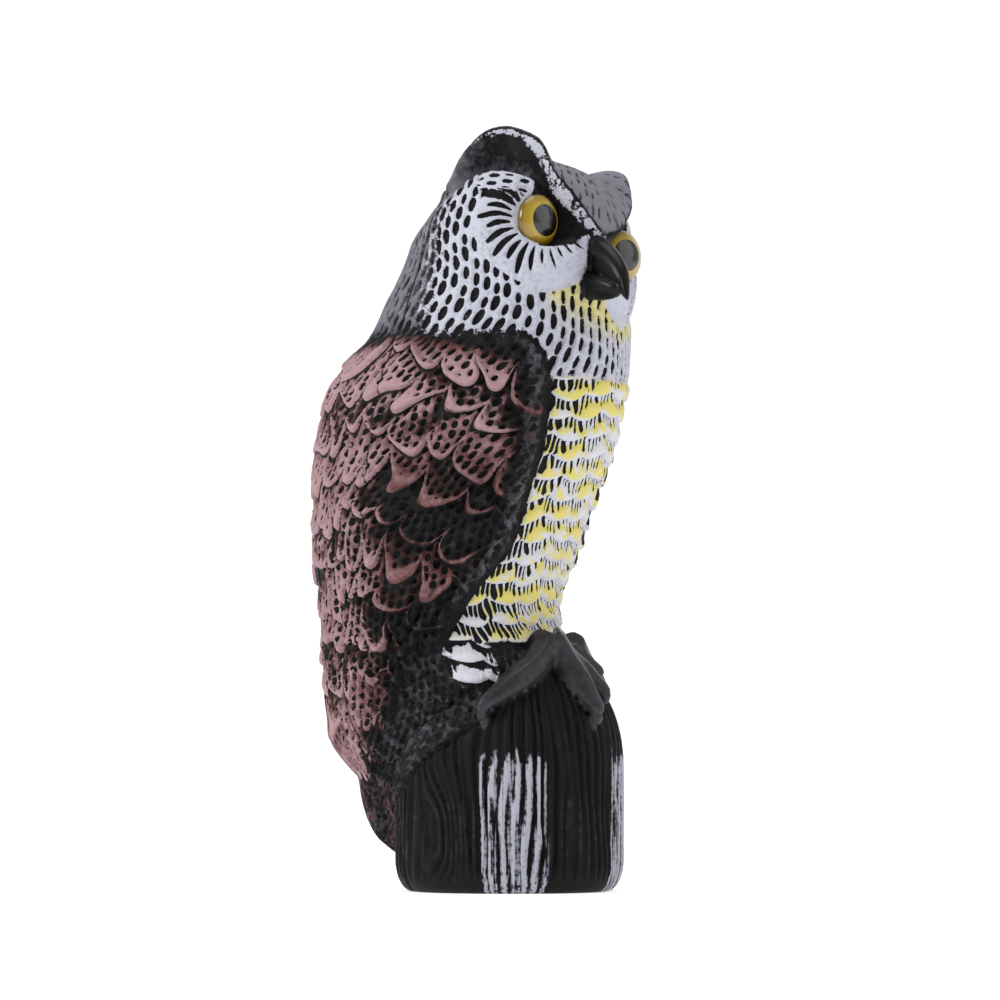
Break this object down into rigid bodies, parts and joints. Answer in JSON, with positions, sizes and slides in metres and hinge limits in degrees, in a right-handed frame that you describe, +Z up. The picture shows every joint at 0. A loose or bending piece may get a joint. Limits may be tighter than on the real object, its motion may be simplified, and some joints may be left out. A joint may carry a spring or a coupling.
{
  "type": "owl decoy",
  "caption": "Moulded garden owl decoy gripping a tree stump with grooved bark, with scalloped feather relief, ear tufts, a hooked beak and domed yellow eyes.",
  "frame": {"origin": "middle of the stump's flat underside", "axes": "+Z up to the ear tips; the owl's body faces -Y and its own left side is +X"},
  "size_m": [0.1574, 0.192, 0.3983],
  "materials": {
    "painted_plastic": "matt black plastic, hand painted white, yellow, red-brown and grey on its relief",
    "eye": "glossy domed plastic, yellow iris and black pupil"
  },
  "bodies": {
    "root": {"moulded_owl_and_stump": "painted_plastic", "right_eye": "eye", "left_eye": "eye"}
  },
  "joints": []
}
